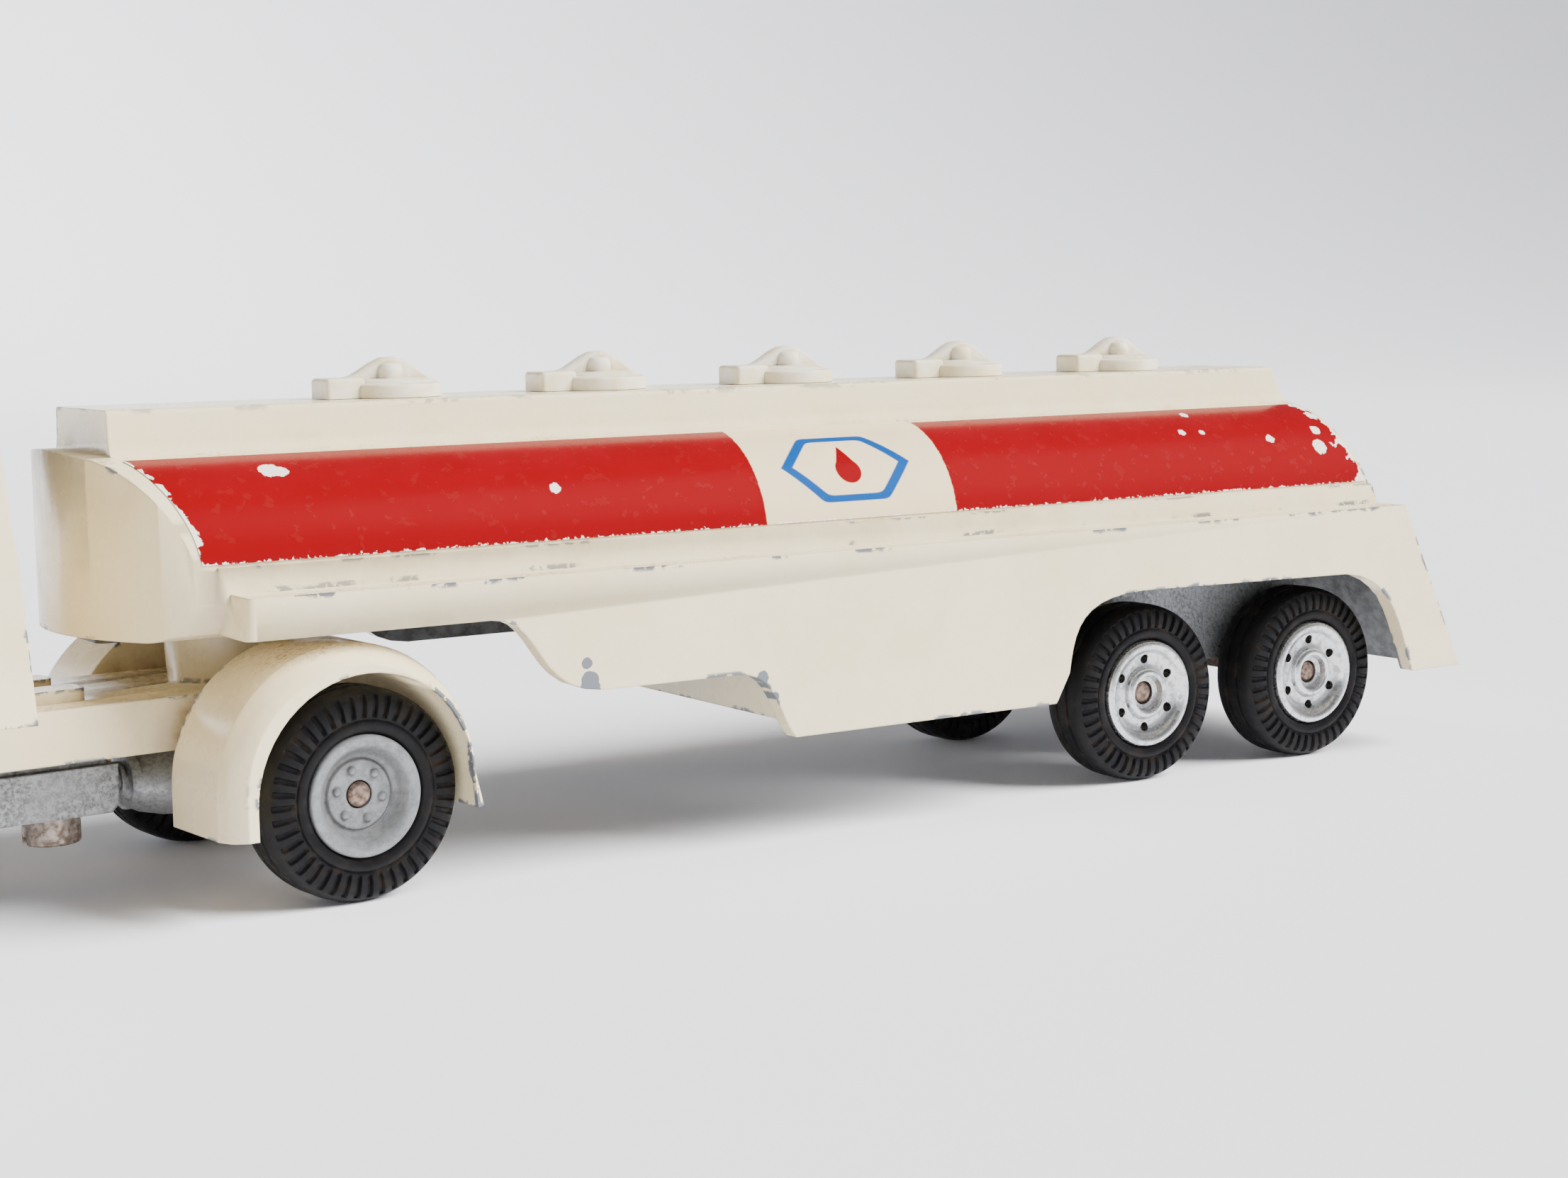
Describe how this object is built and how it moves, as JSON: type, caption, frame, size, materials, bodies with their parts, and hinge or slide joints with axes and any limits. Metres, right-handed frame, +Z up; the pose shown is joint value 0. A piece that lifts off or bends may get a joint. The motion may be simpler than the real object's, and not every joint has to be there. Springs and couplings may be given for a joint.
{
  "type": "toy articulated tanker lorry",
  "caption": "Toy tanker lorry: a hollow tank trailer with roof hatches and stepped side skirts, pinned to a short cab-over tractor that swivels; every axle rolls.",
  "frame": {"origin": "centre of the model's footprint, on the surface that its tyres stand on", "axes": "+X forwards from the tank towards the cab, +Y to the vehicle's left, +Z up"},
  "size_m": [0.2256, 0.0556, 0.0535],
  "materials": {
    "cream_enamel": "gloss, chipped",
    "bare_zinc": "dull as-cast",
    "wheel_zinc": "dull turned",
    "bright_plating": "bright, worn",
    "steel": "tarnished",
    "tyre_rubber": "matt",
    "hatch_plastic": "yellowed satin",
    "black_plastic": "satin",
    "interior_plastic": "satin",
    "clear_plastic": "clear, scuffed",
    "printed_label": "gloss print, chipped"
  },
  "bodies": {
    "tractor": {"tractor_chassis": "cream_enamel", "tractor_baseplate": "bare_zinc", "baseplate_screw_rear": "steel", "baseplate_screw_front": "steel", "cab_shell": "cream_enamel", "cab_glazing": "clear_plastic", "cab_interior": "interior_plastic", "steering_wheel": "black_plastic", "radiator_grille": "bright_plating", "headlamp_left": "bright_plating", "headlamp_right": "bright_plating"},
    "pin": {"coupling_pin": "steel"},
    "trailer": {"tank_body": "cream_enamel", "side_label_left": "printed_label", "side_label_right": "printed_label", "filler_hatch_1": "hatch_plastic", "filler_hatch_2": "hatch_plastic", "filler_hatch_3": "hatch_plastic", "filler_hatch_4": "hatch_plastic", "filler_hatch_5": "hatch_plastic", "bogie_carrier": "bare_zinc", "bogie_screw_front": "steel", "bogie_screw_rear": "steel", "coupling_plate": "black_plastic"},
    "tractor_rear_wheels": {"tractor_rear_axle": "steel", "tractor_rear_hub_left": "wheel_zinc", "tractor_rear_hub_right": "wheel_zinc", "tractor_rear_tyre_left": "tyre_rubber", "tractor_rear_tyre_right": "tyre_rubber"},
    "tractor_front_wheels": {"tractor_front_axle": "steel", "tractor_front_hub_left": "wheel_zinc", "tractor_front_hub_right": "wheel_zinc", "tractor_front_tyre_left": "tyre_rubber", "tractor_front_tyre_right": "tyre_rubber"},
    "bogie_front_wheels": {"bogie_front_axle": "steel", "bogie_front_hub_left": "bright_plating", "bogie_front_hub_right": "bright_plating", "bogie_front_tyre_left": "tyre_rubber", "bogie_front_tyre_right": "tyre_rubber"},
    "bogie_rear_wheels": {"bogie_rear_axle": "steel", "bogie_rear_hub_left": "bright_plating", "bogie_rear_hub_right": "bright_plating", "bogie_rear_tyre_left": "tyre_rubber", "bogie_rear_tyre_right": "tyre_rubber"}
  },
  "joints": [
    {"name": "swivel", "type": "hinge", "parent": "tractor", "child": "pin", "pos_m": [0.04154, -0.00215, 0.0152], "axis": [0, 0, 1], "range_deg": [-75, 85]},
    {"name": "trailer_lift", "type": "slide", "parent": "pin", "child": "trailer", "axis": [0, 0, 1], "range_m": [0, 0.008]},
    {"name": "tractor_rear_spin", "type": "hinge", "parent": "tractor", "child": "tractor_rear_wheels", "pos_m": [0.03755, -0.0025, 0.0105], "axis": [-0.0872, 0.9962, 0], "continuous": true},
    {"name": "tractor_front_spin", "type": "hinge", "parent": "tractor", "child": "tractor_front_wheels", "pos_m": [0.08736, 0.00186, 0.0105], "axis": [-0.0872, 0.9962, 0], "continuous": true},
    {"name": "bogie_front_spin", "type": "hinge", "parent": "trailer", "child": "bogie_front_wheels", "pos_m": [-0.06406, -0.00215, 0.0105], "axis": [0, 1, 0], "continuous": true},
    {"name": "bogie_rear_spin", "type": "hinge", "parent": "trailer", "child": "bogie_rear_wheels", "pos_m": [-0.09086, -0.00215, 0.0105], "axis": [0, 1, 0], "continuous": true}
  ]
}
